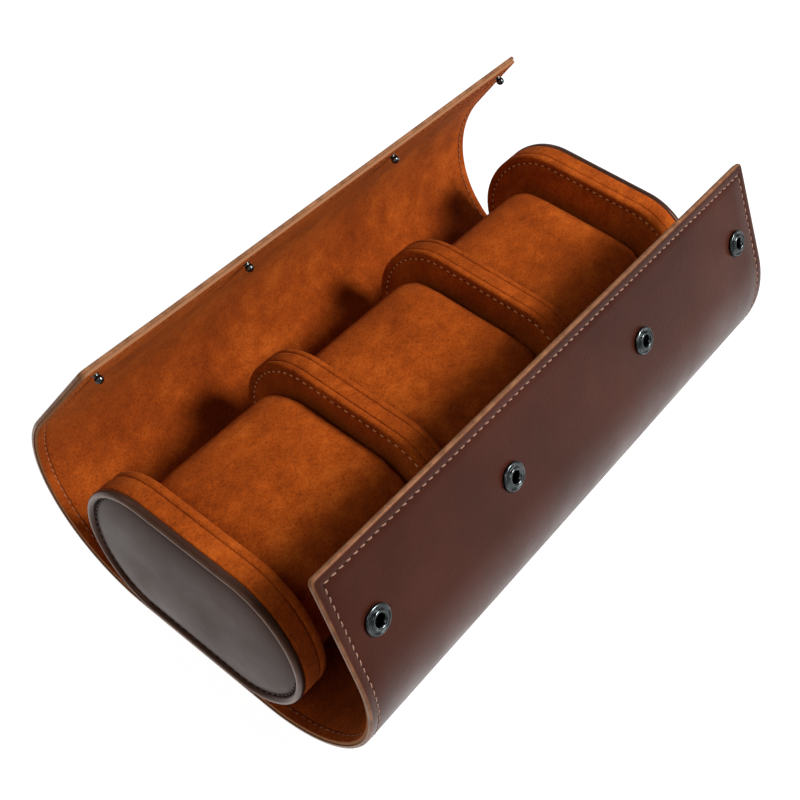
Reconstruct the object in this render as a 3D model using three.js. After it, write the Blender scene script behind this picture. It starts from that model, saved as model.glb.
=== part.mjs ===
// Three-slot leather watch roll case, standing open on its base.
// Millimetres. X runs along the roll, the front flap with the socket halves is on -Y,
// the back flap with the ball studs is on +Y, and Z is up from the surface it stands on.
import * as THREE from "three";

// Wrap: one bent sheet, leather outside and suede inside, swept along X.
const WRAP_LENGTH = 250;
const HALF_SHEET = 1.4; // from the sheet's middle surface to the outer face of the leather
const LEATHER = { outer: -HALF_SHEET, inner: -0.2 }; // offsets towards the inside of the roll
const LINING = { outer: 0.1, inner: 1.3 };
const FRONT = { side: -1, flat: 33.7, radius: 44, degrees: 118.4, straight: 41.8, taper: 0 };
const BACK = { side: 1, flat: 28.4, radius: 47, degrees: 120.6, straight: 40, taper: 8 };
const ARC_STEP = 5; // mm of sheet for each facet of a bend
const BEND_GAP = 1.2; // slit between two strips of the wrap at a bend line
const FREE_CORNER = 2; // rounding at the flaps' free corners
const FRONT_BENDS = [30.8, 77.4]; // mm of sheet from the middle of the base to the bend lines
const BACK_BENDS = [29.6, 65.5];

// Press fasteners, in pairs along X.
const FASTENER_X = [-110, -40.5, 40.5, 110];
const SOCKET_FROM_EDGE = 27.5;
const STUD_FROM_EDGE = 8.5;
const SOCKET_HOLE = 2.9; // radius punched through the front flap
const STUD_HOLE = 1.7; // radius punched through the back flap's lining
const TURNS = 20;

// End caps and dividers share one oblong profile with straight top and bottom runs.
const PROFILE = { halfWidth: 50.5, halfHeight: 33, straight: 21, power: 1.95 };
const PROFILE_STEPS = 14; // facets for each quarter of the profile
const PROFILE_Z = 3.1 + PROFILE.halfHeight;
const FIT = 0.3; // gap between touching layers
const SKIN = 1.5; // suede thickness on caps and dividers
const FACE_INSET = 0.2; // suede faces are this much smaller all round than their band
const CAP_INNER_X = 112.5;
const CAP_CORE = 8.4;
const DISC = 1.8;
const RIM = 3;
const RIM_WIDTH = 2.8;
const RIM_ROLL = 0.9; // rounding of the rim's edges
const DIVIDER_X = 40.5;
const DIVIDER_CORE = 7.4;
const DIVIDER_INSET = 1.1; // dividers are a little smaller than the caps and stand on the same base

// Lift-out cushions, one for each slot.
const CUSHION = { halfWidth: 39, bottom: 4.2, top: 58.2, topRadius: 17, bottomRadius: 14, edge: 5 };
const SLOT_CLEARANCE = 1;

const SUEDE = { color: 0x9a4a1c, roughness: 0.95, metalness: 0 };
const SUEDE_BAND = { color: 0xb8622a, roughness: 0.95, metalness: 0 };
const DARK_LEATHER = { color: 0x4b2a20, roughness: 0.45, metalness: 0 };
const CAP_LEATHER = { color: 0x55453f, roughness: 0.5, metalness: 0 };
const BOARD = { color: 0x8a6a4a, roughness: 0.9, metalness: 0 };
const GUNMETAL = { color: 0x3a3a3c, roughness: 0.3, metalness: 1 };

const group = new THREE.Group();

function addPart(name, geometry, look) {
  const mesh = new THREE.Mesh(geometry, new THREE.MeshStandardMaterial(look));
  mesh.name = name;
  group.add(mesh);
}

// Total arc length of one side of the wrap, from the middle of the base to its free edge.
function sideLength(side) {
  return side.flat + side.radius * THREE.MathUtils.degToRad(side.degrees) + side.straight;
}

// Where the straight free strip of one side begins.
function straightStart(side) {
  return sideLength(side) - side.straight;
}

// Middle-surface point and slope at an arc length along one side of the wrap.
function sheetAt(side, length) {
  const bent = Math.max(0, length - side.flat) / side.radius;
  const slope = Math.min(bent, THREE.MathUtils.degToRad(side.degrees));
  const beyond = Math.max(0, length - straightStart(side));
  const y = Math.min(length, side.flat) + side.radius * Math.sin(slope) + beyond * Math.cos(slope);
  const z = HALF_SHEET + side.radius * (1 - Math.cos(slope)) + beyond * Math.sin(slope);
  return { y: side.side * y, z, slope };
}

// Point at an offset from the middle surface, positive towards the inside of the roll.
function sheetPoint(side, length, offset) {
  const { y, z, slope } = sheetAt(side, length);
  return new THREE.Vector2(y - side.side * Math.sin(slope) * offset, z + Math.cos(slope) * offset);
}

// Arc lengths at which a strip of the wrap has a corner between facets.
function stations(from, to) {
  const count = Math.max(1, Math.round((to - from) / ARC_STEP));
  return Array.from({ length: count + 1 }, (_, i) => from + ((to - from) * i) / count);
}

// Solid with a YZ outline that runs along X between two stations.
function alongX(shape, fromX, toX, options = {}) {
  const geometry = new THREE.ExtrudeGeometry(shape, {
    depth: toX - fromX,
    bevelEnabled: false,
    curveSegments: 10,
    ...options,
  });
  const turn = new THREE.Matrix4().makeBasis(
    new THREE.Vector3(0, 1, 0),
    new THREE.Vector3(0, 0, 1),
    new THREE.Vector3(1, 0, 0),
  );
  return geometry.applyMatrix4(turn).translate(fromX, 0, 0);
}

// Curved strip of one layer of the wrap, from one arc length to another.
function bentStrip(side, from, to, layer) {
  const lengths = stations(from, to);
  const outer = lengths.map((length) => sheetPoint(side, length, layer.outer));
  const inner = lengths.map((length) => sheetPoint(side, length, layer.inner));
  return alongX(new THREE.Shape([...outer, ...inner.reverse()]), -WRAP_LENGTH / 2, WRAP_LENGTH / 2);
}

// Base strip: it runs from the front flap's first bend line to the back flap's.
function baseStrip(layer) {
  const front = stations(FRONT_BENDS[0] - BEND_GAP / 2, 0).map((length) => [FRONT, length]);
  const back = stations(0, BACK_BENDS[0] - BEND_GAP / 2).map((length) => [BACK, length]);
  const edge = [...front, ...back.slice(1)];
  const outer = edge.map(([side, length]) => sheetPoint(side, length, layer.outer));
  const inner = edge.map(([side, length]) => sheetPoint(side, length, layer.inner));
  return alongX(new THREE.Shape([...outer, ...inner.reverse()]), -WRAP_LENGTH / 2, WRAP_LENGTH / 2);
}

// Plan outline of a flat free strip: narrower by the taper at each end of its free edge,
// rounded at its two free corners and punched for the fasteners unless the radius is zero.
function freeStripShape(height, taper, holeFromEdge, holeRadius) {
  const wide = WRAP_LENGTH / 2;
  const narrow = wide - taper;
  const slant = new THREE.Vector2(-taper, height).setLength(FREE_CORNER);
  const shape = new THREE.Shape();
  shape.moveTo(-wide, 0);
  shape.lineTo(wide, 0);
  shape.lineTo(narrow - slant.x, height - slant.y);
  shape.quadraticCurveTo(narrow, height, narrow - FREE_CORNER, height);
  shape.lineTo(FREE_CORNER - narrow, height);
  shape.quadraticCurveTo(-narrow, height, slant.x - narrow, height - slant.y);
  shape.closePath();
  for (const holeX of holeRadius > 0 ? FASTENER_X : []) {
    const hole = new THREE.Path();
    hole.absarc(holeX, height - holeFromEdge, holeRadius, 0, 2 * Math.PI, true);
    shape.holes.push(hole);
  }
  return shape;
}

// Flat free strip of one layer of the wrap, with its plan outline laid along the sheet.
function freeStrip(side, layer, holeFromEdge, holeRadius) {
  const start = straightStart(side) + BEND_GAP / 2;
  const height = sideLength(side) - start;
  const { slope } = sheetAt(side, start);
  const up = new THREE.Vector3(0, side.side * Math.cos(slope), Math.sin(slope));
  const across = new THREE.Vector3(1, 0, 0);
  const depthAxis = across.clone().cross(up);
  const from = side.side > 0 ? layer.outer : layer.inner;
  const corner = sheetPoint(side, start, from);
  const geometry = new THREE.ExtrudeGeometry(freeStripShape(height, side.taper, holeFromEdge, holeRadius), {
    depth: layer.inner - layer.outer,
    bevelEnabled: false,
    curveSegments: 6,
  });
  geometry.applyMatrix4(new THREE.Matrix4().makeBasis(across, up, depthAxis));
  return geometry.translate(0, corner.x, corner.y);
}

function addWrap() {
  const layers = [
    ["leather", LEATHER, DARK_LEATHER],
    ["lining", LINING, SUEDE],
  ];
  for (const [layerName, layer, look] of layers) {
    addPart(`wrap_base_${layerName}`, baseStrip(layer), look);
    for (const [sideName, side, bends] of [
      ["front", FRONT, FRONT_BENDS],
      ["back", BACK, BACK_BENDS],
    ]) {
      const half = BEND_GAP / 2;
      const lower = bentStrip(side, bends[0] + half, bends[1] - half, layer);
      const middle = bentStrip(side, bends[1] + half, straightStart(side) - half, layer);
      addPart(`${sideName}_lower_${layerName}`, lower, look);
      addPart(`${sideName}_middle_${layerName}`, middle, look);
    }
    addPart(`front_top_${layerName}`, freeStrip(FRONT, layer, SOCKET_FROM_EDGE, SOCKET_HOLE), look);
    const studHole = layer === LINING ? STUD_HOLE : 0;
    addPart(`back_top_${layerName}`, freeStrip(BACK, layer, STUD_FROM_EDGE, studHole), look);
  }
}

// Turned solid whose axis leaves the sheet at a fastener, pointing out of the roll or into it.
function fastener(side, fromEdge, x, outwards, points) {
  const length = sideLength(side) - fromEdge;
  const { slope } = sheetAt(side, length);
  const face = sheetPoint(side, length, outwards ? LEATHER.outer : LINING.inner);
  const inward = new THREE.Vector3(0, -side.side * Math.sin(slope), Math.cos(slope));
  const axis = outwards ? inward.negate() : inward;
  const turn = new THREE.Quaternion().setFromUnitVectors(new THREE.Vector3(0, 1, 0), axis);
  const profile = points.map(([radius, height]) => new THREE.Vector2(radius, height));
  const geometry = new THREE.LatheGeometry(profile, TURNS).applyQuaternion(turn);
  return geometry.translate(x, face.x, face.y);
}

// Socket half: a ring with a rolled lip round a blind hole; its barrel passes through the flap.
const SOCKET_POINTS = [
  [0, -2.5],
  [2.6, -2.5],
  [2.6, 0.2],
  [5, 0.2],
  [5.25, 0.55],
  [5.1, 1.1],
  [4.2, 1.5],
  [3.3, 1.9],
  [2.5, 1.8],
  [2, 1.3],
  [2, -1],
  [0, -1],
];
// Eyelet that closes the socket's barrel on the suede side.
const EYELET_POINTS = [
  [0, 0.15],
  [4.3, 0.15],
  [4.3, 0.4],
  [3.8, 0.65],
  [0, 0.65],
];
// Ball stud: a shank anchored in the lining, a thin flange, a neck and a ball.
const BALL_RADIUS = 1.6;
const BALL_HEIGHT = 1.95;
const BALL_ANGLES = [-52, -25, 0, 30, 60];
const STUD_POINTS = [
  [0, -1.2],
  [1.3, -1.2],
  [1.3, 0.15],
  [2, 0.15],
  [2, 0.5],
  [1, 0.55],
  ...BALL_ANGLES.map((degrees) => {
    const angle = THREE.MathUtils.degToRad(degrees);
    return [BALL_RADIUS * Math.cos(angle), BALL_HEIGHT + BALL_RADIUS * Math.sin(angle)];
  }),
  [0, BALL_HEIGHT + BALL_RADIUS],
];

function addFasteners() {
  FASTENER_X.forEach((x, i) => {
    const number = i + 1;
    addPart(`socket_${number}`, fastener(FRONT, SOCKET_FROM_EDGE, x, true, SOCKET_POINTS), GUNMETAL);
    addPart(`socket_eyelet_${number}`, fastener(FRONT, SOCKET_FROM_EDGE, x, false, EYELET_POINTS), GUNMETAL);
    addPart(`stud_${number}`, fastener(BACK, STUD_FROM_EDGE, x, false, STUD_POINTS), GUNMETAL);
  });
}

// Closed outline of the caps and dividers in YZ, drawn in by an inset.
function profilePoints(inset) {
  const { halfWidth, halfHeight, straight, power } = PROFILE;
  const width = halfWidth - inset - straight;
  const height = halfHeight - inset;
  const quarter = [];
  for (let i = 0; i <= PROFILE_STEPS; i++) {
    const angle = (Math.PI / 2) * (i / PROFILE_STEPS);
    const reach = Math.abs(Math.cos(angle)) < 1e-9 ? 0 : Math.cos(angle) ** (2 / power);
    quarter.push([straight + width * reach, height * Math.sin(angle) ** (2 / power)]);
  }
  const mirrored = (signY, signZ) =>
    quarter.map(([y, z]) => new THREE.Vector2(signY * y, PROFILE_Z + signZ * z));
  return [
    ...mirrored(1, 1),
    ...mirrored(-1, 1).reverse().slice(0, -1),
    ...mirrored(-1, -1),
    ...mirrored(1, -1).reverse().slice(0, -1),
  ];
}

function profilePlate(inset, fromX, toX) {
  return alongX(new THREE.Shape(profilePoints(inset)), fromX, toX);
}

function profileRing(inset, width, fromX, toX, options) {
  const shape = new THREE.Shape(profilePoints(inset));
  shape.holes.push(new THREE.Path(profilePoints(inset + width)));
  return alongX(shape, fromX, toX, options);
}

// Mirrors a pair of stations to the cap's or divider's own side of the case.
function stationsOnSide(sign, near, far) {
  return sign > 0 ? [near, far] : [-far, -near];
}

// End cap: suede face inwards, board core in a suede band, and a leather disc inside a rolled rim.
function addEndCap(name, sign) {
  const coreX = CAP_INNER_X + SKIN + FIT;
  const discX = coreX + CAP_CORE + FIT;
  const faceSpan = stationsOnSide(sign, CAP_INNER_X, CAP_INNER_X + SKIN);
  const coreSpan = stationsOnSide(sign, coreX, coreX + CAP_CORE);
  const discSpan = stationsOnSide(sign, discX, discX + DISC);
  const rimSpan = stationsOnSide(sign, discX + RIM_ROLL, discX + RIM - RIM_ROLL);
  const bevel = {
    bevelEnabled: true,
    bevelThickness: RIM_ROLL,
    bevelSize: RIM_ROLL,
    bevelOffset: -RIM_ROLL,
    bevelSegments: 2,
  };
  addPart(`${name}_face`, profilePlate(FACE_INSET, ...faceSpan), SUEDE);
  addPart(`${name}_core`, profilePlate(SKIN + FIT, ...coreSpan), BOARD);
  addPart(`${name}_band`, profileRing(0, SKIN, ...coreSpan), SUEDE_BAND);
  addPart(`${name}_disc`, profilePlate(RIM_WIDTH + FIT, ...discSpan), CAP_LEATHER);
  addPart(`${name}_rim`, profileRing(0, RIM_WIDTH, ...rimSpan, bevel), DARK_LEATHER);
}

// Divider: board core in a suede band, with a suede face on each side.
function addDivider(name, centreX) {
  const half = DIVIDER_CORE / 2;
  const faceX = half + FIT;
  const plate = (inset, from, to) => profilePlate(DIVIDER_INSET + inset, centreX + from, centreX + to);
  const pieces = [
    ["core", plate(SKIN + FIT, -half, half), BOARD],
    ["band", profileRing(DIVIDER_INSET, SKIN, centreX - half, centreX + half), SUEDE_BAND],
    ["face_left", plate(FACE_INSET, -faceX - SKIN, -faceX), SUEDE],
    ["face_right", plate(FACE_INSET, faceX, faceX + SKIN), SUEDE],
  ];
  for (const [piece, geometry, look] of pieces) {
    addPart(`${name}_${piece}`, geometry.translate(0, 0, -DIVIDER_INSET), look);
  }
}

// Cushion outline in YZ: a block with large top corners and a rounded belly.
function cushionShape(inset) {
  const w = CUSHION.halfWidth - inset;
  const low = CUSHION.bottom + inset;
  const high = CUSHION.top - inset;
  const top = CUSHION.topRadius - inset;
  const bottom = CUSHION.bottomRadius - inset;
  const shape = new THREE.Shape();
  shape.moveTo(bottom - w, low);
  shape.lineTo(w - bottom, low);
  shape.absarc(w - bottom, low + bottom, bottom, -Math.PI / 2, 0, false);
  shape.lineTo(w, high - top);
  shape.absarc(w - top, high - top, top, 0, Math.PI / 2, false);
  shape.lineTo(top - w, high);
  shape.absarc(top - w, high - top, top, Math.PI / 2, Math.PI, false);
  shape.lineTo(-w, low + bottom);
  shape.absarc(bottom - w, low + bottom, bottom, Math.PI, 1.5 * Math.PI, false);
  return shape;
}

function addCushion(name, fromX, toX) {
  const { edge } = CUSHION;
  const geometry = alongX(cushionShape(edge), fromX + SLOT_CLEARANCE + edge, toX - SLOT_CLEARANCE - edge, {
    bevelEnabled: true,
    bevelThickness: edge,
    bevelSize: edge,
    bevelSegments: 3,
    curveSegments: 6,
  });
  addPart(name, geometry, SUEDE);
}

addWrap();
addFasteners();
addEndCap("cap_left", -1);
addEndCap("cap_right", 1);
addDivider("divider_left", -DIVIDER_X);
addDivider("divider_right", DIVIDER_X);
const dividerFace = DIVIDER_CORE / 2 + FIT + SKIN;
addCushion("cushion_left", -CAP_INNER_X, -DIVIDER_X - dividerFace);
addCushion("cushion_middle", -DIVIDER_X + dividerFace, DIVIDER_X - dividerFace);
addCushion("cushion_right", DIVIDER_X + dividerFace, CAP_INNER_X);

export default group;
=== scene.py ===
"""Three-slot leather watch roll case: the looks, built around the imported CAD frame.

Metres in Blender; the sizes below are in millimetres. +Z is up, X runs along the roll, the front flap
with the socket halves is on -Y and the back flap with the ball studs is on +Y.
"""

import math
import random
from collections import namedtuple

import bmesh
import bpy
import numpy as np
from mathutils import Matrix, Vector, noise


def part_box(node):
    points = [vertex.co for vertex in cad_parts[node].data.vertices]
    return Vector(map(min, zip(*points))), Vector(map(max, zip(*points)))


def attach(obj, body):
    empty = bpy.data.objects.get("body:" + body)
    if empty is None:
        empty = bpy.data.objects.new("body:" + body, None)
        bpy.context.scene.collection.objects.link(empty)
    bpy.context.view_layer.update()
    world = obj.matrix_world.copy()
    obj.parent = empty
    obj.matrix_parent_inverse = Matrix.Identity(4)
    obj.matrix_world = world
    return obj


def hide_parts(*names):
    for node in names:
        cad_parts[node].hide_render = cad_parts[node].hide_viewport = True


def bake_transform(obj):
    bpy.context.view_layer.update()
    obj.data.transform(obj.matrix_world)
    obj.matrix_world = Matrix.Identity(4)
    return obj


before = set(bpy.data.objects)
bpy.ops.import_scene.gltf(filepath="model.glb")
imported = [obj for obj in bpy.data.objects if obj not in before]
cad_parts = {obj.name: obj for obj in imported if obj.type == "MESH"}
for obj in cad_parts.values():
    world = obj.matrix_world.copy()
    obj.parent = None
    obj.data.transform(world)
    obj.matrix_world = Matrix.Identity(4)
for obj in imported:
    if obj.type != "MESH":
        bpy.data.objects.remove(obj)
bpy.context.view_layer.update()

MM = 0.001

# The wrap: one bent sheet of leather and suede, swept along X.
HALF_LENGTH = 125
HALF_SHEET = 1.4
Side = namedtuple("Side", "name sign flat radius degrees straight taper bends cuts")
FRONT = Side("front", -1, 33.7, 44, 118.4, 41.8, 0, (30.8, 77.4, 124.6), (16, 54, 101))
BACK = Side("back", 1, 28.4, 47, 120.6, 40, 8, (29.6, 65.5, 127.3), (15, 47.5, 96.4))
BLEND_REACH = 8  # mm of sheet either side of a bend line
FREE_CORNER = 2
LEATHER_LAYER = (-1.4, -0.03)  # offsets from the middle surface, positive towards the inside of the roll
LINING_LAYER = (0.03, 1.3)
LINING_INSET = 0.5  # the suede stops this far short of the leather's edge
ROW_STEP = 2.5
COLUMNS = 40
SEAM_MARGIN = 0.04  # first and last span of a piece, so that shading meets the next piece cleanly
SHEET_WAVE = 0.14  # mm of slight unevenness over the whole sheet
STITCH_INSET = 3.7  # from the sheet's edge to the sewn line
STITCH_PITCH = 3.2
STITCH_LENGTH = 2.2
STITCH_SLANT = (0.08, 0.26)
THREAD_RADIUS = 0.36

# End caps and dividers share one oblong profile.
PROFILE_HALF = (50.5, 33)
PROFILE_STRAIGHT = 21
PROFILE_POWER = 1.95
PROFILE_BOTTOM = 3.1
QUARTER_STEPS = 26
CAP_INNER = 112.5
CAP_SEAM = 116
CAP_BAND_END = 123
CAP_CORE_FACE = 114.2
DIVIDER_X = 40.5
DIVIDER_HALF = 5.5
DIVIDER_SEAM = 2.8
DIVIDER_CORE_FACE = 3.8
DIVIDER_INSET = 1.1
BAND_GAP = 0.03  # between a band and the seams beside it
FACE_STITCH = 3.5  # inset of the sewn lines from the outline
DISC_STITCH = 3.55
PAD_STITCH_LENGTH = 1.8
PAD_STITCH_PITCH = 3.3
FACE_CLOSE = 28  # inset at which the inside of a face is closed flat

# Press fasteners.
SOCKET_FROM_EDGE = 27.5
STUD_FROM_EDGE = 8.5
PUNCH_RADIUS = 2.6
CUTTER_REACH = 4
HOLE_SHADE = 1.95  # radius inside which painted shade blackens a socket's hole
TURNS = 48

# Lift-out cushions.
CUSHION_HALF_Y = 38.4
CUSHION_LOW = 5.2
CUSHION_HIGH = 57.6
CUSHION_TOP_RADIUS = 18
CUSHION_BOTTOM_RADIUS = 14
CUSHION_EDGE = 3.5
CUSHION_SHRINK = 1.4  # the sewn cover starts this much inside its slot and is blown up against it
CUSHION_SETTLED = (0, 1.5, 3.5)  # how far each one has sunk, from left to right
WALL_CLEARANCE = 0.5
SIM_FRAMES = 20
SIM_VOXEL = 4
SIM_REACH = 6
SIM_PRESSURE = 4
SIM_TENSION = 25
SIM_BENDING = 2

# Camera: azimuth, elevation and roll in degrees, place in millimetres.
CAMERA_ANGLES = (-54.55, 49.53, -4.78)
CAMERA_PLACE = (-257.4, -172.4, 397.0)
CAMERA_LENS = 54.6
CAMERA_SHIFT = (0.003, -0.013)

# Studio, in metres and watts.
FLOOR_GLOW = 0.95  # the floor glows with painted light, brightest round the roll, so that the roll's shadow stays soft
FAR_GLOW = 0.3
GLOW_CENTRE = (0.1, 0.1, 0)
GLOW_REACH = (0.33, 0.7)  # distances at which the glow starts to fade and has faded
FLOOR_HALF = 9000
FLOOR_Z = -0.3
HORIZON = 0.4
SKY = 0.03
SKY_FADE = (0.3, 0.6)
LIGHT_TARGET = (0, 0, 0.04)
LIGHTS = (  # name, place, size, power
    ("key", (0.42, -0.88, 1.06), (0.4, 0.4), 32),
    ("fill", (-0.8, -0.1, 0.9), (0.6, 0.5), 2.5),
    ("back", (0.1, 0.9, 0.8), (0.8, 0.4), 4),
)


# ---------------------------------------------------------------- materials


def colour(red, green, blue):
    """Linear colour from 0-255 display values."""
    levels = [c / 255 for c in (red, green, blue)]
    linear = [((c + 0.055) / 1.055) ** 2.4 if c > 10 / 255 else c / 12.92 for c in levels]
    return (*linear, 1)


class Nodes:
    """Small helper that adds and links the nodes of one material."""

    def __init__(self, name, roughness):
        self.material = bpy.data.materials.new(name)
        self.material.use_nodes = True
        self.tree = self.material.node_tree
        self.shader = self.tree.nodes["Principled BSDF"]
        self.shader.inputs["Roughness"].default_value = roughness
        self.coordinates = self.add("ShaderNodeTexCoord").outputs["Object"]

    def add(self, kind, **settings):
        node = self.tree.nodes.new(kind)
        for key, value in settings.items():
            setattr(node, key, value)
        return node

    def link(self, output, target):
        self.tree.links.new(output, target)

    def noise(self, scale, detail=3, roughness=0.5, stretch=None):
        node = self.add("ShaderNodeTexNoise")
        node.inputs["Scale"].default_value = scale
        node.inputs["Detail"].default_value = detail
        node.inputs["Roughness"].default_value = roughness
        source = self.coordinates
        if stretch:
            mapping = self.add("ShaderNodeMapping")
            mapping.inputs["Scale"].default_value = stretch
            self.link(source, mapping.inputs["Vector"])
            source = mapping.outputs["Vector"]
        self.link(source, node.inputs["Vector"])
        return node.outputs["Fac"]

    def ramp(self, value, stops):
        """Colour ramp; stops are (position, colour)."""
        node = self.add("ShaderNodeValToRGB")
        elements = node.color_ramp.elements
        while len(elements) < len(stops):
            elements.new(0.5)
        for element, (position, shade) in zip(elements, stops):
            element.position = position
            element.color = shade
        self.link(value, node.inputs["Fac"])
        return node.outputs["Color"]

    def mask(self, value, low, high, floor=0.0, ceiling=1.0):
        """Value mapped from low..high to floor..ceiling, held outside."""
        node = self.add("ShaderNodeMapRange", clamp=True)
        for key, number in zip(("From Min", "From Max", "To Min", "To Max"), (low, high, floor, ceiling)):
            node.inputs[key].default_value = number
        self.link(value, node.inputs["Value"])
        return node.outputs["Result"]

    def maths(self, operation, first, second):
        node = self.add("ShaderNodeMath", operation=operation)
        for socket, value in zip(node.inputs, (first, second)):
            if isinstance(value, (int, float)):
                socket.default_value = value
            else:
                self.link(value, socket)
        return node.outputs["Value"]

    def mix(self, amount, first, second, blend="MIX"):
        """Colour mix; first and second are outputs or colours."""
        node = self.add("ShaderNodeMix", data_type="RGBA", blend_type=blend)
        for socket, value in ((node.inputs[0], amount), (node.inputs[6], first), (node.inputs[7], second)):
            if isinstance(value, (int, float, tuple)):
                socket.default_value = value
            else:
                self.link(value, socket)
        return node.outputs[2]

    def bump(self, heights):
        """Chained bumps; heights are (height output, strength, distance in metres)."""
        normal = None
        for height, strength, distance in heights:
            node = self.add("ShaderNodeBump")
            node.inputs["Strength"].default_value = strength
            node.inputs["Distance"].default_value = distance
            self.link(height, node.inputs["Height"])
            if normal:
                self.link(normal, node.inputs["Normal"])
            normal = node.outputs["Normal"]
        self.link(normal, self.shader.inputs["Normal"])

    def edge(self):
        """Millimetres from the nearest sewn edge, stored on the mesh."""
        return self.add("ShaderNodeAttribute", attribute_name="edge_mm").outputs["Fac"]

    def line_at(self, edge, centre, half_width):
        """1 on a line at that distance from the edge, falling to 0 either side."""
        away = self.maths("ABSOLUTE", self.maths("SUBTRACT", edge, centre), 0)
        return self.mask(away, 0, half_width, 1, 0)


def leather(name, dark, mid, light, edge_colour=None, groove=None, roughness=0.34, gloss=0.24):
    """Smooth finished leather: cloudy tone, fine pores and creases, burnished edge and painted shade along
    the sewn groove.
    """
    n = Nodes(name, roughness)
    cloudy = n.noise(18, 4, 0.55)
    fine = n.noise(520, 3, 0.6)
    tone = n.ramp(cloudy, [(0.3, dark), (0.5, mid), (0.72, light)])
    tone = n.mix(n.mask(fine, 0.35, 0.75, 0, 0.25), tone, dark)
    if edge_colour:
        edge = n.edge()
        worn = n.mask(n.noise(240, 4, 0.6), 0.35, 0.68, 0.45, 1)
        burnish = n.mask(edge, 0.12, 1.0, 1, 0)
        rim = n.maths("MULTIPLY", burnish, worn)
        tone = n.mix(rim, tone, edge_colour)
        # painted shade: the leather is darkened along the valley of its sewn line
        if groove:
            tone = n.mix(n.maths("MULTIPLY", n.line_at(edge, groove, 0.5), 0.75), tone, colour(26, 10, 7))
    n.link(tone, n.shader.inputs["Base Color"])
    shine = n.mask(n.noise(46, 4, 0.6), 0.3, 0.7, roughness - 0.06, roughness + 0.08)
    if edge_colour:
        shine = n.maths("SUBTRACT", shine, n.maths("MULTIPLY", burnish, 0.12))
    n.link(shine, n.shader.inputs["Roughness"])
    n.shader.inputs["Specular IOR Level"].default_value = gloss
    n.shader.inputs["Specular Tint"].default_value = colour(190, 130, 110)
    pores = n.add("ShaderNodeTexVoronoi", feature="SMOOTH_F1")
    pores.inputs["Scale"].default_value = 1300
    n.link(n.coordinates, pores.inputs["Vector"])
    creases = n.noise(150, 5, 0.62)
    n.bump([(creases, 0.09, 0.0006), (pores.outputs["Distance"], 0.14, 0.0002)])
    return n.material


def suede(name, dark, mid, light, groove=None, edge_colour=None):
    """Brushed suede: patches of nap lying different ways, short fibres and a soft sheen at grazing angles."""
    n = Nodes(name, 0.95)
    patches = n.noise(30, 5, 0.62)
    swirls = n.noise(130, 6, 0.7, (1, 1.35, 0.8))
    fibres = n.noise(1150, 5, 0.78)
    nap_map = n.maths("ADD", n.maths("MULTIPLY", patches, 0.6), n.maths("MULTIPLY", swirls, 0.4))
    tone = n.ramp(nap_map, [(0.26, dark), (0.5, mid), (0.74, light)])
    grains = [(0.32, (0.44, 0.38, 0.32, 1)), (0.5, (0.84, 0.83, 0.82, 1)), (0.66, (1, 1, 1, 1))]
    speckle = n.ramp(fibres, grains)
    tone = n.mix(1.0, tone, speckle, "MULTIPLY")
    if edge_colour or groove:
        edge = n.edge()
    # painted shade: the suede is darkened along the valley of its sewn line
    if groove:
        tone = n.mix(n.maths("MULTIPLY", n.line_at(edge, groove, 0.55), 0.7), tone, colour(44, 15, 4))
    if edge_colour:
        tone = n.mix(n.mask(edge, 0.02, 0.22, 1, 0), tone, edge_colour)
    n.link(tone, n.shader.inputs["Base Color"])
    n.shader.inputs["Specular IOR Level"].default_value = 0.06
    n.shader.inputs["Sheen Weight"].default_value = 0.16
    n.shader.inputs["Sheen Roughness"].default_value = 0.4
    n.shader.inputs["Sheen Tint"].default_value = colour(226, 130, 62)
    n.bump([(swirls, 0.3, 0.0012), (fibres, 0.75, 0.0006)])
    return n.material


def gunmetal(name, dark, mid, light, hole=0.0):
    """Dark plated steel with slightly worn ridges, and painted shade that blackens it inside a radius about
    its axis.
    """
    n = Nodes(name, 0.26)
    wear = n.noise(420, 3, 0.5)
    tone = n.ramp(wear, [(0.3, dark), (0.52, mid), (0.75, light)])
    # painted shade: the hole inside this radius is coloured near black
    if hole:
        tone = n.mix(n.mask(n.edge(), hole, hole + 0.3, 1, 0), tone, colour(14, 12, 12))
    n.link(tone, n.shader.inputs["Base Color"])
    n.link(n.mask(n.noise(700, 3), 0.3, 0.7, 0.2, 0.32), n.shader.inputs["Roughness"])
    n.shader.inputs["Metallic"].default_value = 1.0
    n.bump([(wear, 0.06, 0.0001)])
    return n.material


def thread(name, dark, light):
    """Waxed sewing thread with a twist."""
    n = Nodes(name, 0.6)
    strands = n.noise(2600, 2, 0.5)
    n.link(n.ramp(strands, [(0.35, dark), (0.65, light)]), n.shader.inputs["Base Color"])
    n.bump([(strands, 0.5, 0.0003)])
    return n.material


def board():
    """Grey-brown board of the hidden cores."""
    n = Nodes("core_board", 0.9)
    pulp = n.noise(700, 4, 0.6)
    tone = n.ramp(pulp, [(0.3, colour(120, 96, 70)), (0.7, colour(156, 130, 100))])
    n.link(tone, n.shader.inputs["Base Color"])
    n.bump([(pulp, 0.3, 0.0003)])
    return n.material


def floor_material():
    """Pale matt studio floor that glows with painted light, brightest round the object."""
    n = Nodes("floor", 0.8)
    tone = n.ramp(n.noise(3, 2), [(0.3, colour(110, 110, 110)), (0.7, colour(115, 115, 115))])
    n.link(tone, n.shader.inputs["Base Color"])
    n.shader.inputs["Specular IOR Level"].default_value = 0.1
    n.shader.inputs["Emission Color"].default_value = (1, 1, 1, 1)
    # painted light: emission that is strongest near GLOW_CENTRE and fades to FAR_GLOW further out
    reach = n.add("ShaderNodeVectorMath", operation="DISTANCE")
    n.link(n.coordinates, reach.inputs[0])
    reach.inputs[1].default_value = GLOW_CENTRE
    glow = n.mask(reach.outputs["Value"], *GLOW_REACH, FLOOR_GLOW, FAR_GLOW)
    n.link(glow, n.shader.inputs["Emission Strength"])
    return n.material


# ---------------------------------------------------------------- mesh helpers


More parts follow.
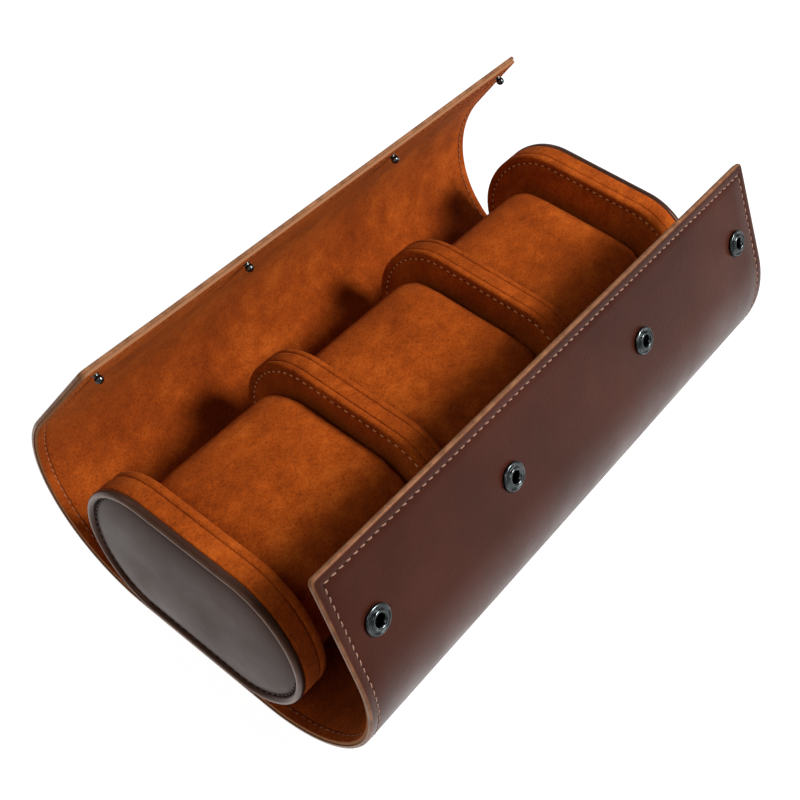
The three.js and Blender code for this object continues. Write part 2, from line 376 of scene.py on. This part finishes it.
def make_object(name, vertices, faces, material, edge=None, sharp_degrees=50):
    """Smooth shaded object from vertices in millimetres, with a distance-to-edge attribute if given."""
    mesh = bpy.data.meshes.new(name)
    mesh.from_pydata((np.asarray(vertices, float) * MM).tolist(), [], faces)
    mesh.validate()
    if edge is not None:
        attribute = mesh.attributes.new("edge_mm", "FLOAT", "POINT")
        attribute.data.foreach_set("value", np.asarray(edge, np.float32))
    bm = bmesh.new()
    bm.from_mesh(mesh)
    bmesh.ops.recalc_face_normals(bm, faces=bm.faces)
    bm.to_mesh(mesh)
    bm.free()
    mesh.polygons.foreach_set("use_smooth", np.ones(len(mesh.polygons), bool))
    mesh.set_sharp_from_angle(angle=math.radians(sharp_degrees))
    mesh.materials.append(material)
    obj = bpy.data.objects.new(name, mesh)
    bpy.context.scene.collection.objects.link(obj)
    return obj


def loft(name, rings, material, edge=None, looped=False, sharp_degrees=50):
    """Closed skin through rings of equal length, capped at its ends unless it loops back to the first."""
    count = len(rings[0])
    vertices = np.concatenate(rings)
    faces = []
    spans = len(rings) if looped else len(rings) - 1
    for r in range(spans):
        here, there = r * count, ((r + 1) % len(rings)) * count
        for i in range(count):
            j = (i + 1) % count
            faces.append((here + i, here + j, there + j, there + i))
    if not looped:
        faces.append(tuple(range(count)))
        faces.append(tuple(range((len(rings) - 1) * count, len(rings) * count)))
    edges = None if edge is None else np.repeat(edge, count)
    return make_object(name, vertices, faces, material, edges, sharp_degrees)


# ---------------------------------------------------------------- the sheet


def straight_start(side):
    return side.flat + side.radius * math.radians(side.degrees)


def side_length(side):
    return straight_start(side) + side.straight


def sheet_at(side, length):
    """Middle-surface y, z and slope at an arc length along one side of the wrap."""
    slope = min(max(0.0, length - side.flat) / side.radius, math.radians(side.degrees))
    beyond = max(0.0, length - straight_start(side))
    y = min(length, side.flat) + side.radius * math.sin(slope) + beyond * math.cos(slope)
    z = HALF_SHEET + side.radius * (1 - math.cos(slope)) + beyond * math.sin(slope)
    return side.sign * y, z, slope


def wave(x, side, length):
    """Slight unevenness of the hand-made sheet, none where it stands on the table."""
    where = Vector((x / 70, side.sign * length / 46, 3.7))
    return SHEET_WAVE * noise.noise(where) * min(1.0, max(0.0, length - side.flat) / 30)


def sheet_point(side, x, length, offset):
    y, z, slope = sheet_at(side, length)
    out = offset + wave(x, side, length)
    return (x, y - side.sign * math.sin(slope) * out, z + math.cos(slope) * out)


def half_width(side, length):
    """Half the sheet's width along X at an arc length: the free strip tapers."""
    share = max(0.0, length - straight_start(side)) / side.straight
    return HALF_LENGTH - side.taper * share


EDGE_LINES = (0, 0.05, 0.2, 0.45, 0.8, 1.5, 2.8, 3.3, 3.7, 4.1, 4.6)  # mm from a sewn edge


def lines_between(start, end, step):
    """Evenly spaced positions with a short first and last span."""
    count = max(1, round((end - start) / step))
    inner = [start + (end - start) * i / count for i in range(1, count)]
    return [start, start + SEAM_MARGIN, *inner, end - SEAM_MARGIN, end]


def edge_round(distance, radius):
    """How far a rounded edge falls back at a distance from it."""
    if distance >= radius:
        return 0.0
    return radius - math.sqrt(max(0.0, radius * radius - (radius - distance) ** 2))


def sewn_dip(distance, depth):
    """Depth of the valley that the stitches pull into the sheet."""
    return depth * max(0.0, 1 - abs(distance - STITCH_INSET) / 0.85)


def sheet_grid(side, start, end, free, inset=0.0):
    """Rows of (side, x, length, distance from a sewn edge) over one piece of the sheet, less an inset."""
    if free:
        end -= inset
    across = [1.0 - 2.0 * i / COLUMNS for i in range(1, COLUMNS)]
    inner = EDGE_LINES[-1]
    rows = lines_between(start, end - (inner if free else 0), ROW_STEP)
    if free:
        rows = rows[:-2] + [end - d for d in reversed(EDGE_LINES)]
    grid = []
    for length in rows:
        wide = half_width(side, length) - inset
        left = [(-wide + d, d) for d in EDGE_LINES]
        right = [(wide - d, d) for d in reversed(EDGE_LINES)]
        middle = [(-a * (wide - inner), wide - abs(a) * (wide - inner)) for a in across]
        row = []
        for x, from_end in left + middle + right:
            from_free = end - length if free else math.inf
            place, along, distance = x, length, min(from_end, from_free)
            if from_end < FREE_CORNER and from_free < FREE_CORNER:
                u, v = 1 - from_end / FREE_CORNER, 1 - from_free / FREE_CORNER
                reach_x, reach_s = u * math.sqrt(1 - v * v / 2), v * math.sqrt(1 - u * u / 2)
                place = math.copysign(wide - FREE_CORNER + FREE_CORNER * reach_x, x)
                along = end - FREE_CORNER + FREE_CORNER * reach_s
                distance = FREE_CORNER * (1 - math.hypot(reach_x, reach_s))
            row.append((side, place, along, max(0.0, distance)))
        grid.append(row)
    return grid


def slab(name, rows, layer, material, radii, dips):
    """One layer of the sheet as a closed slab; edge radii and stitch valleys are (outside, inside)."""
    columns, count = len(rows[0]), len(rows)
    vertices, edge = [], []
    for offset, radius, dip, inward in zip(layer, radii, dips, (1, -1)):
        for side, x, length, distance in (point for row in rows for point in row):
            fall = edge_round(distance, radius) + sewn_dip(distance, dip)
            vertices.append(sheet_point(side, x, length, offset + inward * fall))
            edge.append(distance)
    size = count * columns
    faces = []
    for r in range(count - 1):
        for c in range(columns - 1):
            corner = r * columns + c
            quad = (corner, corner + 1, corner + columns + 1, corner + columns)
            faces.append(quad)
            faces.append(tuple(size + v for v in reversed(quad)))
    border = list(range(columns)) + [r * columns + columns - 1 for r in range(1, count)]
    border += [(count - 1) * columns + c for c in range(columns - 2, -1, -1)]
    border += [r * columns for r in range(count - 2, 0, -1)]
    for i, here in enumerate(border):
        there = border[(i + 1) % len(border)]
        faces.append((here, there, size + there, size + here))
    return make_object(name, vertices, faces, material, edge)


def stitch_mesh(name, stitches, material):
    """Threads on a surface, as short tubes with rounded ends; a stitch is (centre, along, up, length)."""
    around = 6
    # Share of the length, share of the radius and lift of each cross-section.
    stations = (
        (-0.5, 0.25, -0.35), (-0.4, 0.8, 0.05), (0, 1.0, 0.3), (0.4, 0.8, 0.05), (0.5, 0.25, -0.35),
    )  # fmt: skip
    vertices, faces = [], []
    for centre, along, up, length in stitches:
        centre, along, up = Vector(centre), Vector(along).normalized(), Vector(up).normalized()
        side = along.cross(up).normalized()
        base = len(vertices)
        for share, thick, lift in stations:
            middle = centre + along * (share * length) + up * (lift * THREAD_RADIUS)
            for k in range(around):
                angle = 2 * math.pi * k / around
                spoke = side * math.cos(angle) + up * math.sin(angle) * 0.8
                vertices.append(tuple(middle + spoke * (THREAD_RADIUS * thick)))
        for s in range(len(stations) - 1):
            for k in range(around):
                a, b = base + s * around + k, base + s * around + (k + 1) % around
                faces.append((a, b, b + around, a + around))
        faces.append(tuple(base + k for k in range(around)))
        last = base + (len(stations) - 1) * around
        faces.append(tuple(last + k for k in range(around)))
    return make_object(name, vertices, faces, material, sharp_degrees=80)


def edge_stitches(side, start, end, free, offset, outwards):
    """Stitches along both ends of a piece of the sheet and along its free edge, on one face."""
    stitches = []
    rng = random.Random(f"{side.name}{start}{offset}")

    def add(x, length, dx, ds):
        here, inward = sheet_frame(side, x, length, offset)
        ahead = Vector(sheet_point(side, x + dx, length + ds, offset)) - here
        slanted = ahead.normalized() + inward.cross(ahead).normalized() * rng.uniform(*STITCH_SLANT)
        stitches.append((here, slanted, -inward if outwards else inward, STITCH_LENGTH))

    first = math.ceil(start / STITCH_PITCH) * STITCH_PITCH
    last = end - STITCH_INSET - STITCH_LENGTH / 2 if free else end - 0.01
    length = first
    while length < last:
        x = half_width(side, length) - STITCH_INSET
        dx = half_width(side, length + 1) - half_width(side, length)
        add(x, length, dx, 1)
        add(-x, length, -dx, 1)
        length += STITCH_PITCH
    if free:
        reach = half_width(side, end - STITCH_INSET) - STITCH_INSET - STITCH_LENGTH * 0.6
        count = round(2 * reach / STITCH_PITCH)
        for i in range(count + 1):
            add(-reach + 2 * reach * i / count, end - STITCH_INSET, 1, 0)
    return stitches


def place_on_sheet(piece, side, index):
    """Rides a piece of the sheet on the base, or bakes its placement into its mesh; the ends of its bend line
    are worked out but not used.
    """
    if side is None:
        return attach(piece, "case")
    bend = side.bends[index]
    ends = [Vector(sheet_point(side, 0, bend + reach, 0)) * MM for reach in (-BLEND_REACH, BLEND_REACH)]
    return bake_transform(piece)


def sheet_frame(side, x, length, offset):
    """Point on the sheet and the direction that leads into the roll there."""
    _, _, slope = sheet_at(side, length)
    inward = Vector((0, -side.sign * math.sin(slope), math.cos(slope)))
    return Vector(sheet_point(side, x, length, offset)), inward


def fastener_x(name):
    low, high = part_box(name)
    return (low.x + high.x) / 2 / MM


def spokes_about(axis):
    """Unit vectors all round an axis that is square to X."""
    across = Vector((1, 0, 0))
    other = axis.cross(across)
    return [across * math.cos(a) + other * math.sin(a) for a in np.linspace(0, 2 * math.pi, TURNS, False)]


def punch(piece, side, from_edge, radius, names):
    """Cuts a round hole through one layer of the sheet at each fastener."""
    bpy.context.view_layer.objects.active = piece
    axes = [sheet_frame(side, fastener_x(name), side_length(side) - from_edge, 0) for name in names]
    for middle, inward in axes:
        spokes = spokes_about(inward)
        rings = [
            np.array([middle + inward * reach + spoke * radius for spoke in spokes])
            for reach in (-CUTTER_REACH, CUTTER_REACH)
        ]
        cutter = loft("cutter", rings, piece.data.materials[0])
        cut = piece.modifiers.new("hole", "BOOLEAN")
        cut.operation = "DIFFERENCE"
        cut.solver = "EXACT"
        cut.object = cutter
        bpy.ops.object.modifier_apply(modifier="hole")
        bpy.data.objects.remove(cutter)
    edge = piece.data.attributes["edge_mm"].data
    for vertex in piece.data.vertices:
        place = vertex.co / MM
        for middle, inward in axes:
            away = place - middle
            if (away - inward * away.dot(inward)).length < radius + 0.2:
                edge[vertex.index].value = from_edge


# Layers of the wrap: offsets, edge radii, stitch valleys (outside, inside) and inset of the edge.
LAYERS = (
    ("leather", LEATHER_LAYER, (0.7, 0.0), (0.22, 0), 0),
    ("lining", LINING_LAYER, (0.0, 0.4), (0, 0.22), LINING_INSET),
)


STRIPS = (("lower", "lower_bend"), ("middle", "upper_bend"), ("top", "panel"))  # CAD strip, piece


def wrap_pieces():
    """(side, bend index, name, node, sections) of each piece; a section is (side, start, end, free)."""
    base = [(side, 0, side.cuts[0], False) for side in (FRONT, BACK)]
    pieces = [(None, None, "wrap_base", "wrap_base", base)]
    for side in (FRONT, BACK):
        limits = (*side.cuts, side_length(side))
        for index, (node, label) in enumerate(STRIPS):
            section = (side, limits[index], limits[index + 1], index == 2)
            pieces.append((side, index, f"{side.name}_{label}", f"{side.name}_{node}", [section]))
    return pieces


def build_wrap(looks):
    """The leather, its suede lining and the sewing thread, cut half way between bend lines."""
    for side, index, name, node, sections in wrap_pieces():
        for layer_name, layer, radii, dips, inset in LAYERS:
            material, slot = looks[layer_name]
            outwards = layer_name == "leather"
            grids = [sheet_grid(*section, inset) for section in sections]
            rows = grids[0] if side else grids[0][::-1] + grids[1][1:]
            piece = slab(f"{name}_{layer_name}_skin", rows, layer, material, radii, dips)
            if node == "front_top" and outwards:
                punch(piece, side, SOCKET_FROM_EDGE, PUNCH_RADIUS, [f"socket_{n}" for n in range(1, 5)])
            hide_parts(f"{node}_{layer_name}")
            place_on_sheet(piece, side, index)
            offset = layer[0] + dips[0] if outwards else layer[1] - dips[1]
            stitches = []
            for section in sections:
                stitches += edge_stitches(*section, offset, outwards)
            sewn = stitch_mesh(f"{name}_{layer_name}_stitching", stitches, looks[f"{layer_name}_thread"])
            place_on_sheet(sewn, side, index)


# ---------------------------------------------------------------- caps and dividers


def profile(inset, drop=0.0):
    """Closed outline in y, z, drawn in by an inset and lowered by a drop."""
    wide = PROFILE_HALF[0] - inset - PROFILE_STRAIGHT
    high = PROFILE_HALF[1] - inset
    angles = np.linspace(0, math.pi / 2, QUARTER_STEPS)
    y = PROFILE_STRAIGHT + wide * np.clip(np.cos(angles), 0, 1) ** (2 / PROFILE_POWER)
    z = high * np.clip(np.sin(angles), 0, 1) ** (2 / PROFILE_POWER)
    quarter = np.stack([y, z], 1)
    outline = np.concatenate(
        [quarter, (quarter * (-1, 1))[::-1], quarter * (-1, -1), (quarter * (1, -1))[::-1]]
    )
    keep = np.ones(len(outline), bool)
    keep[1:] = np.linalg.norm(np.diff(outline, axis=0), axis=1) > 1e-6
    keep[-1] = keep[-1] and np.linalg.norm(outline[-1] - outline[0]) > 1e-6
    return outline[keep] + (0, PROFILE_BOTTOM + PROFILE_HALF[1] - drop)


def ring(x, inset, drop=0.0):
    """The profile as a ring of points at one station along X."""
    outline = profile(inset, drop)
    return np.column_stack([np.full(len(outline), x), outline])


# Cross-section of a cup-shaped suede face, from its flange to its middle: (inset from the outline, share
# of the height from the seam to the front).
FACE_SECTION = (
    (1.6, 0), (1.2, 0), (0.5, 0.01), (0.14, 0.1), (0, 0.32), (0.06, 0.6), (0.3, 0.82), (0.8, 0.96), (1.6, 1),
    (2.5, 0.97), (3.0, 0.9), (3.5, 0.82), (4.0, 0.9), (4.8, 0.97), (7, 1), (12, 1), (20, 1), (28, 1),
)  # fmt: skip
# Cross-section of a band, as a closed loop: (inset, share of the half width).
BAND_SECTION = (
    (1.5, -1), (0.75, -1), (0.32, -0.97), (0.1, -0.88), (0.02, -0.6), (-0.05, 0), (0.02, 0.6), (0.1, 0.88),
    (0.32, 0.97), (0.75, 1), (1.5, 1),
)  # fmt: skip
# Rolled rim of an end cap's disc, as a closed loop: (inset, height over the band).
RIM_SECTION = (
    (2.9, 0.1), (1.6, 0), (0.5, 0), (0.05, 0.4), (-0.12, 1.1), (0.1, 2.05), (0.55, 2.7), (1.2, 2.95),
    (1.9, 2.8), (2.5, 2.3), (2.8, 1.5),
)  # fmt: skip
RIM_CREST = 1.1  # inset of the worn ridge
# Leather disc inside the rim: (inset, height over the band).
DISC_SECTION = (
    (28, 0.2), (3.4, 0.2), (2.95, 0.5), (2.95, 0.9), (3.2, 1.1), (3.6, 1.2), (4.1, 1.5), (5, 1.9), (7, 2.4),
    (10, 2.85), (14, 3.2), (20, 3.45), (28, 3.5),
)  # fmt: skip


def outline_stitches(x, inset, outwards, drop):
    """Stitches round the profile at an inset, on the face at x that looks along X with the sign given."""
    points = ring(x, inset, drop)
    loop = np.concatenate([points, points[:1]])
    travelled = np.concatenate([[0], np.cumsum(np.linalg.norm(np.diff(loop, axis=0), axis=1))])
    total = travelled[-1]
    count = round(total / PAD_STITCH_PITCH)
    stitches = []
    for i in range(count):
        here, ahead = (
            np.array([np.interp((total * i / count + step) % total, travelled, axis) for axis in loop.T])
            for step in (-0.4, 0.4)
        )
        stitches.append(((here + ahead) / 2, ahead - here, (outwards, 0, 0), PAD_STITCH_LENGTH))
    return stitches


def finish_piece(piece, body, slot, *nodes):
    if nodes:
        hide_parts(*nodes)
    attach(piece, body)
    return piece


def build_pad_face(name, seam_x, core_x, front_x, inset, looks):
    """A suede face that wraps over its core to the seam, with a line of stitches pulled into it."""
    rise = front_x - seam_x
    flange = FACE_SECTION[0][0] + 0.05
    rings = [ring(core_x, inset + FACE_CLOSE, inset), ring(core_x, inset + flange, inset)]
    rings += [ring(seam_x + rise * share, inset + into, inset) for into, share in FACE_SECTION]
    edge = [FACE_CLOSE, flange, *(into for into, _ in FACE_SECTION)]
    material, slot = looks["face"]
    finish_piece(loft(f"{name}_skin", rings, material, edge), "case", slot, name)
    outwards = math.copysign(1, rise)
    stitches = outline_stitches(seam_x + rise * 0.82 + 0.05 * outwards, inset + FACE_STITCH, outwards, inset)
    finish_piece(stitch_mesh(f"{name}_stitching", stitches, looks["face_thread"]), "case", slot)


def build_band(name, node, centre, half, inset, looks):
    """The suede band round a cap or a divider, slightly crowned between its seams."""
    rings = [ring(centre + share * half, inset + into, inset) for into, share in BAND_SECTION]
    material, slot = looks["band"]
    finish_piece(loft(f"{name}_skin", rings, material, looped=True), "case", slot, node)


def build_end_cap(name, sign, looks):
    build_pad_face(f"{name}_face", sign * CAP_SEAM, sign * CAP_CORE_FACE, sign * CAP_INNER, 0, looks)
    middle, half = (CAP_SEAM + CAP_BAND_END) / 2, (CAP_BAND_END - CAP_SEAM) / 2 - BAND_GAP
    build_band(f"{name}_band", f"{name}_band", sign * middle, half, 0, looks)
    rim = [ring(sign * (CAP_BAND_END + height), into) for into, height in RIM_SECTION]
    material, slot = looks["rim"]
    worn = [abs(into - RIM_CREST) for into, _ in RIM_SECTION]
    finish_piece(loft(f"{name}_rim_skin", rim, material, worn, looped=True), "case", slot, f"{name}_rim")
    disc = [ring(sign * (CAP_BAND_END + height), into) for into, height in DISC_SECTION]
    material, slot = looks["disc"]
    edge = [into for into, _ in DISC_SECTION]
    finish_piece(loft(f"{name}_disc_skin", disc, material, edge), "case", slot, f"{name}_disc")
    stitches = outline_stitches(sign * (CAP_BAND_END + 1.35), DISC_STITCH, sign, 0)
    finish_piece(stitch_mesh(f"{name}_disc_stitching", stitches, looks["disc_thread"]), "case", slot)


def build_divider(name, centre, looks):
    for label, sign in (("left", -1), ("right", 1)):
        levels = [centre + sign * reach for reach in (DIVIDER_SEAM, DIVIDER_CORE_FACE, DIVIDER_HALF)]
        build_pad_face(f"{name}_face_{label}", *levels, DIVIDER_INSET, looks)
    build_band(f"{name}_band", f"{name}_band", centre, DIVIDER_SEAM - BAND_GAP, DIVIDER_INSET, looks)


# ---------------------------------------------------------------- press fasteners


def arc(centre_radius, centre_height, radius, start, end, steps=6):
    """Points of a turned profile along a circular arc, in degrees."""
    angles = np.radians(np.linspace(start, end, steps))
    return [(centre_radius + radius * math.cos(a), centre_height + radius * math.sin(a)) for a in angles]


def socket_profile():
    """Ring of a socket half: rolled outer lip, shallow channel, raised collar and a blind hole."""
    return [
        (0.02, -1.34), (2.45, -1.34), (2.45, 0.1), (4.5, 0.1),
        *arc(4.6, 0.75, 0.62, -80, 110, 8),
        (4.1, 1.1), (3.75, 1.05), (3.45, 1.2),
        *arc(2.85, 1.35, 0.6, 20, 160),
        (2.05, 1.1), (1.9, 0.4), (1.8, -0.9), (0.02, -1.1),
    ]  # fmt: skip


def stud_profile():
    """Ball stud on its small flange."""
    return [
        (0.02, -1.15), (1.1, -1.15), (1.1, 0.0), (1.3, 0.0), *arc(1.3, 0.15, 0.15, -60, 90, 4), (1.0, 0.45),
        (0.95, 0.7), *arc(0, 1.95, 1.6, -52, 88, 14), (0.02, 3.55),
    ]  # fmt: skip


def eyelet_profile():
    return [(0.02, 0.1), (4.1, 0.1), *arc(4.1, 0.32, 0.2, -80, 90, 5), (3.4, 0.6), (2.2, 0.66), (0.02, 0.66)]


def turned(name, body, side, from_edge, outwards, section, material):
    """Turned fastener standing on the sheet at its CAD node's place along X."""
    offset = LEATHER_LAYER[0] if outwards else LINING_LAYER[1]
    face, inward = sheet_frame(side, fastener_x(name), side_length(side) - from_edge, offset)
    axis = -inward if outwards else inward
    spokes = spokes_about(axis)
    rings = [
        np.array([face + axis * height + spoke * radius for spoke in spokes]) for radius, height in section
    ]
    radii = [radius for radius, _ in section]
    finish_piece(loft(f"{name}_turned", rings, material, radii, sharp_degrees=35), body, "gunmetal", name)


def build_fasteners(ring_metal, ball_metal):
    for number in range(1, 5):
        on_front = ("front_top", FRONT, SOCKET_FROM_EDGE)
        turned(f"socket_{number}", *on_front, True, socket_profile(), ring_metal)
        turned(f"socket_eyelet_{number}", *on_front, False, eyelet_profile(), ball_metal)
        turned(f"stud_{number}", "back_top", BACK, STUD_FROM_EDGE, False, stud_profile(), ball_metal)


# ---------------------------------------------------------------- cushions


def cushion_outline(inset, settled, steps=9):
    """Closed y, z outline of the sewn cover: large top corners and a rounded belly."""
    wide, low, high = CUSHION_HALF_Y - inset, CUSHION_LOW + inset, CUSHION_HIGH - settled - inset
    top, bottom = CUSHION_TOP_RADIUS - inset, CUSHION_BOTTOM_RADIUS - inset
    corners = (
        (wide - top, high - top, top, 0), (top - wide, high - top, top, 90),
        (bottom - wide, low + bottom, bottom, 180), (wide - bottom, low + bottom, bottom, 270),
    )  # fmt: skip
    points = []
    for y, z, radius, start in corners:
        points += arc(y, z, radius, start, start + 90, steps)
    return np.array(points)


def inflate(cushion, start_x, end_x, settled):
    """Blows the cover up by cloth simulation, then holds it inside its slot."""
    bpy.context.view_layer.objects.active = cushion
    cushion.select_set(True)
    remesh = cushion.modifiers.new("remesh", "REMESH")
    remesh.mode = "VOXEL"
    remesh.voxel_size = SIM_VOXEL * MM
    bpy.ops.object.modifier_apply(modifier="remesh")
    mesh = cushion.data
    before = np.empty(len(mesh.vertices) * 3)
    mesh.vertices.foreach_get("co", before)
    before = before.reshape(-1, 3)
    cloth = cushion.modifiers.new("cloth", "CLOTH")
    settings = cloth.settings
    settings.use_pressure = True
    settings.uniform_pressure_force = SIM_PRESSURE
    settings.effector_weights.gravity = 0
    settings.tension_stiffness = SIM_TENSION
    settings.bending_stiffness = SIM_BENDING
    scene = bpy.context.scene
    for step in range(1, SIM_FRAMES + 1):
        scene.frame_set(step)
    graph = bpy.context.evaluated_depsgraph_get()
    swollen = cushion.evaluated_get(graph).to_mesh()
    after = np.empty(len(swollen.vertices) * 3)
    swollen.vertices.foreach_get("co", after)
    after = after.reshape(-1, 3)
    cushion.modifiers.remove(cloth)
    scene.frame_set(1)
    moved = after - before
    reach = np.linalg.norm(moved, axis=1, keepdims=True)
    moved *= np.minimum(1, SIM_REACH * MM / np.maximum(reach, 1e-9))
    after = before + moved
    low, high = (start_x + WALL_CLEARANCE) * MM, (end_x - WALL_CLEARANCE) * MM
    middle, half = (low + high) / 2, (high - low) / 2
    share = (after[:, 0] - middle) / half
    pressed = np.tanh(share * 1.6) / math.tanh(1.6) * 0.999
    held = np.sign(share) * np.minimum(1, np.abs(pressed))
    after[:, 0] = middle + half * np.where(np.abs(share) > 0.97, held, share)
    after[:, 0] = np.clip(after[:, 0], low, high)
    after[:, 2] = np.clip(after[:, 2], (CUSHION_LOW - 1) * MM, (CUSHION_HIGH + 2.4 - settled) * MM)
    mesh.vertices.foreach_set("co", after.ravel())
    smooth = cushion.modifiers.new("smooth", "SMOOTH")
    smooth.factor = 0.5
    smooth.iterations = 3
    bpy.ops.object.modifier_apply(modifier="smooth")
    finer = cushion.modifiers.new("finer", "SUBSURF")
    finer.levels = 1
    finer.render_levels = 1
    bpy.ops.object.modifier_apply(modifier="finer")
    cushion.select_set(False)


def build_cushion(name, start_x, end_x, settled, look):
    """A padded suede cushion that fills its slot from wall to wall; some have settled lower than others."""
    first, last = start_x + CUSHION_SHRINK, end_x - CUSHION_SHRINK
    turns = np.radians(np.linspace(0, 90, 6))
    bevel = [(CUSHION_EDGE * (1 - math.sin(t)), CUSHION_EDGE * (1 - math.cos(t))) for t in turns]
    stations = [(first + into, drawn) for drawn, into in bevel]
    stations += [(last - into, drawn) for drawn, into in reversed(bevel)]
    rings = []
    for x, inset in stations:
        outline = cushion_outline(inset, settled)
        rings.append(np.column_stack([np.full(len(outline), x), outline]))
    material, slot = look
    cushion = loft(f"{name}_cover", rings, material)
    inflate(cushion, start_x, end_x, settled)
    cushion.data.polygons.foreach_set("use_smooth", np.ones(len(cushion.data.polygons), bool))
    finish_piece(cushion, name, slot, name)


# ---------------------------------------------------------------- studio


def build_camera():
    """Three-quarter view from above the left end, with the slight tilt of a hand-held shot."""
    place = Vector(CAMERA_PLACE) * MM
    a, e, roll = (math.radians(angle) for angle in CAMERA_ANGLES)
    back = Vector((math.sin(a) * math.cos(e), -math.cos(a) * math.cos(e), math.sin(e)))
    camera = bpy.data.objects.new("camera", bpy.data.cameras.new("camera"))
    camera.data.sensor_width = 36
    camera.data.lens = CAMERA_LENS
    camera.data.shift_x, camera.data.shift_y = CAMERA_SHIFT
    camera.data.clip_start = 0.01
    turn = (-back).to_track_quat("-Z", "Y").to_matrix().to_4x4()
    camera.matrix_world = Matrix.Translation(place) @ turn @ Matrix.Rotation(-roll, 4, "Z")
    bpy.context.scene.collection.objects.link(camera)
    bpy.context.scene.camera = camera


def area_light(name, place, size, power):
    light = bpy.data.lights.new(name, "AREA")
    light.shape = "RECTANGLE"
    light.size, light.size_y = size
    light.energy = power
    obj = bpy.data.objects.new(name, light)
    obj.location = place
    obj.rotation_euler = (Vector(LIGHT_TARGET) - Vector(place)).to_track_quat("-Z", "Y").to_euler()
    bpy.context.scene.collection.objects.link(obj)


def build_studio():
    scene = bpy.context.scene
    scene.view_settings.view_transform = "Standard"
    corners = [(x * FLOOR_HALF, y * FLOOR_HALF, FLOOR_Z) for x, y in ((-1, -1), (1, -1), (1, 1), (-1, 1))]
    make_object("floor", corners, [(0, 1, 2, 3)], floor_material())
    world = bpy.data.worlds.new("studio")
    scene.world = world
    world.use_nodes = True
    tree = world.node_tree
    background = tree.nodes["Background"]
    background.inputs["Color"].default_value = (1, 1, 1, 1)
    height = tree.nodes.new("ShaderNodeSeparateXYZ")
    fade = tree.nodes.new("ShaderNodeMapRange")
    for key, value in zip(("From Min", "From Max", "To Min", "To Max"), (*SKY_FADE, HORIZON, SKY)):
        fade.inputs[key].default_value = value
    tree.links.new(tree.nodes.new("ShaderNodeTexCoord").outputs["Generated"], height.inputs[0])
    tree.links.new(height.outputs["Z"], fade.inputs["Value"])
    tree.links.new(fade.outputs["Result"], background.inputs["Strength"])
    for light in LIGHTS:
        area_light(*light)


def build_looks():
    """Materials and material slots by the kind of surface."""
    edge_tan = colour(142, 98, 68)
    brown = (colour(42, 17, 10), colour(51, 22, 14), colour(60, 28, 19))
    taupe = (colour(44, 27, 20), colour(55, 36, 28), colour(66, 46, 37))
    rust = (colour(104, 40, 8), colour(160, 71, 17), colour(208, 106, 34))
    # painted shade: the lining's suede is a darker copy of the rust suede, for the shade inside the roll
    shaded_lining_rust = (colour(94, 35, 7), colour(146, 63, 15), colour(192, 95, 29))
    steel = (colour(52, 56, 57), colour(74, 79, 80), colour(112, 118, 119))
    ring_metal = gunmetal("gunmetal", *steel, hole=HOLE_SHADE)
    ball_metal = gunmetal("ball_steel", *steel)
    # the suede faces and the lining get painted shade along their sewn grooves (FACE_STITCH, STITCH_INSET)
    suede_face = suede("suede_face", *rust, groove=FACE_STITCH)
    # the wrap and the disc get painted shade along their sewn grooves (STITCH_INSET, DISC_STITCH)
    leather_skin = leather("wrap_leather", *brown, edge_tan, STITCH_INSET)
    rim_leather = leather("rim_leather", *taupe, colour(112, 84, 68), roughness=0.32, gloss=0.4)
    disc_leather = leather("disc_leather", *taupe, colour(50, 36, 30), DISC_STITCH, 0.38, 0.16)
    return {
        "ring_metal": ring_metal,
        "ball_metal": ball_metal,
        "leather": (leather_skin, "wrap_leather"),
        "lining": (suede("suede_lining", *shaded_lining_rust, groove=STITCH_INSET, edge_colour=edge_tan), "suede"),
        "leather_thread": thread("tan_thread", colour(84, 52, 40), colour(150, 110, 88)),
        "lining_thread": thread("rust_thread", colour(112, 52, 20), colour(164, 92, 42)),
        "face": (suede_face, "suede"),
        "face_thread": thread("sand_thread", colour(178, 112, 60), colour(228, 168, 112)),
        "band": (suede("suede_band", *rust), "band_suede"),
        "rim": (rim_leather, "wrap_leather"),
        "disc": (disc_leather, "disc_leather"),
        "disc_thread": thread("brown_thread", colour(22, 15, 13), colour(52, 36, 30)),
        "cushion": (suede("suede_cushion", *rust), "cushion_suede"),
    }


def main():
    build_camera()
    looks = build_looks()
    core = board()
    for name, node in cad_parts.items():
        if name.endswith("_core"):
            node.data.materials.clear()
            node.data.materials.append(core)
    build_wrap(looks)
    build_fasteners(looks["ring_metal"], looks["ball_metal"])
    build_end_cap("cap_left", -1, looks)
    build_end_cap("cap_right", 1, looks)
    build_divider("divider_left", -DIVIDER_X, looks)
    build_divider("divider_right", DIVIDER_X, looks)
    near, far = DIVIDER_X - DIVIDER_HALF, DIVIDER_X + DIVIDER_HALF
    slots = (("left", -CAP_INNER, -far), ("middle", -near, near), ("right", far, CAP_INNER))
    for (name, start_x, end_x), settled in zip(slots, CUSHION_SETTLED):
        build_cushion(f"cushion_{name}", start_x, end_x, settled, looks["cushion"])
    build_studio()


main()
bpy.context.view_layer.update()
